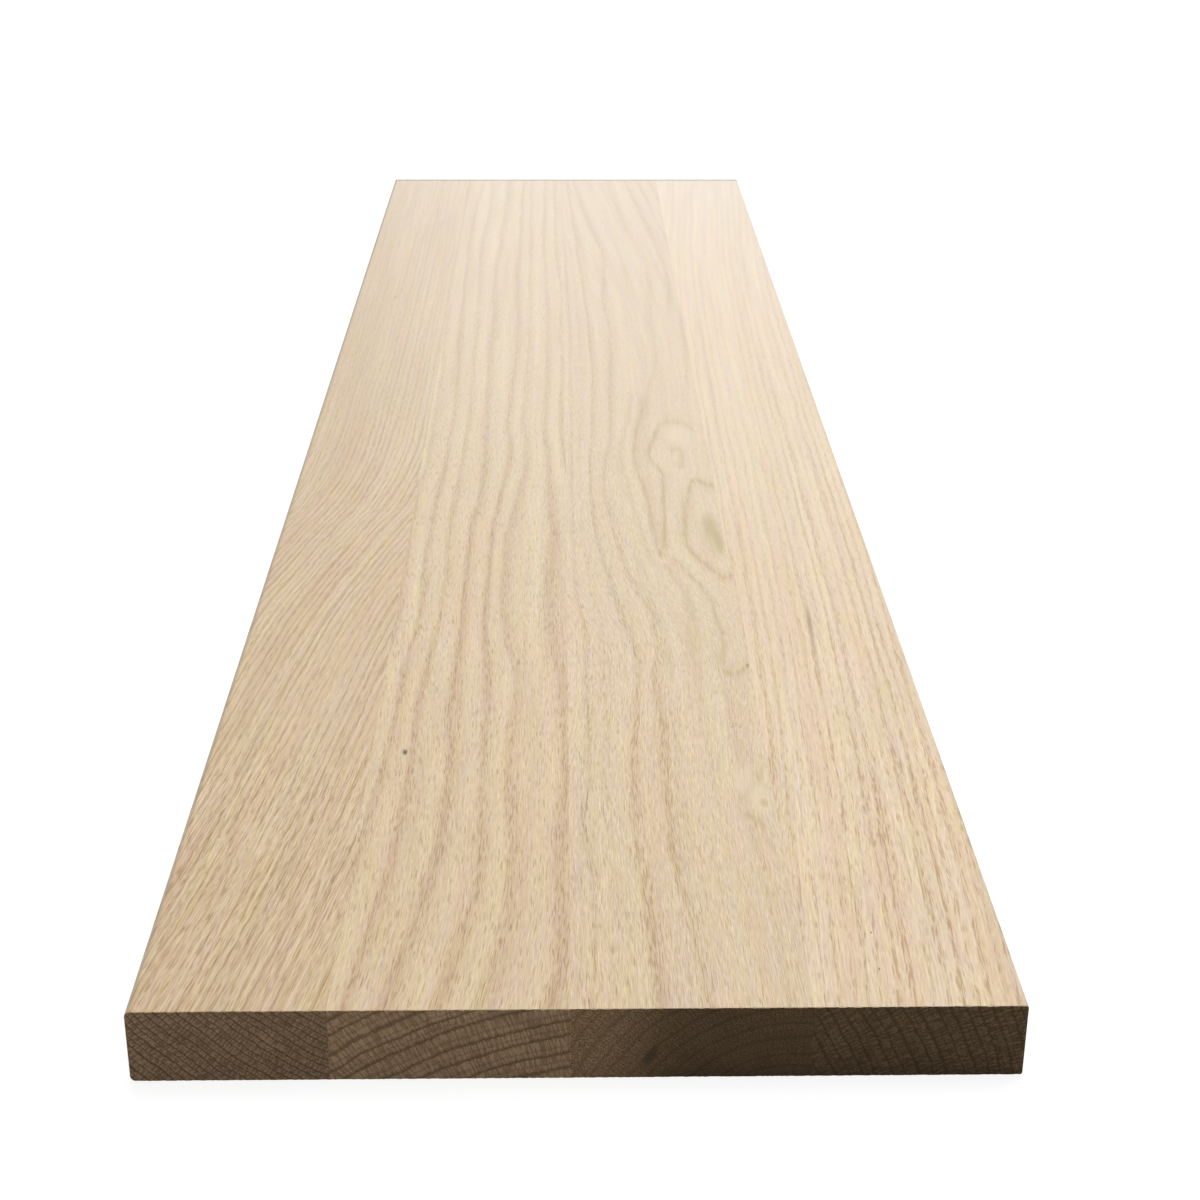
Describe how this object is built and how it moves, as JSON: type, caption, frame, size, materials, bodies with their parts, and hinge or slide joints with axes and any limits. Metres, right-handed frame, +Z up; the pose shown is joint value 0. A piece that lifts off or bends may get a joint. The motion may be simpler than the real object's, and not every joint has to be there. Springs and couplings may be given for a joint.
{
  "type": "stair tread",
  "caption": "Flat rectangular oak stair tread, edge-glued from staves, with square-cut ends, a square nosing edge with eased arrises and a flat underside that rests on stringers.",
  "frame": {"origin": "middle of the underside", "axes": "+X along the tread's length, across the stair; -Y towards the nosing edge and +Y towards the riser; +Z up, out of the walking face"},
  "size_m": [1.2192, 0.2922, 0.027],
  "materials": {
    "oak": "planed and sanded, unfinished"
  },
  "bodies": {
    "root": {"nosing_stave": "oak", "front_middle_stave": "oak", "back_middle_stave": "oak", "back_stave": "oak"}
  },
  "joints": []
}
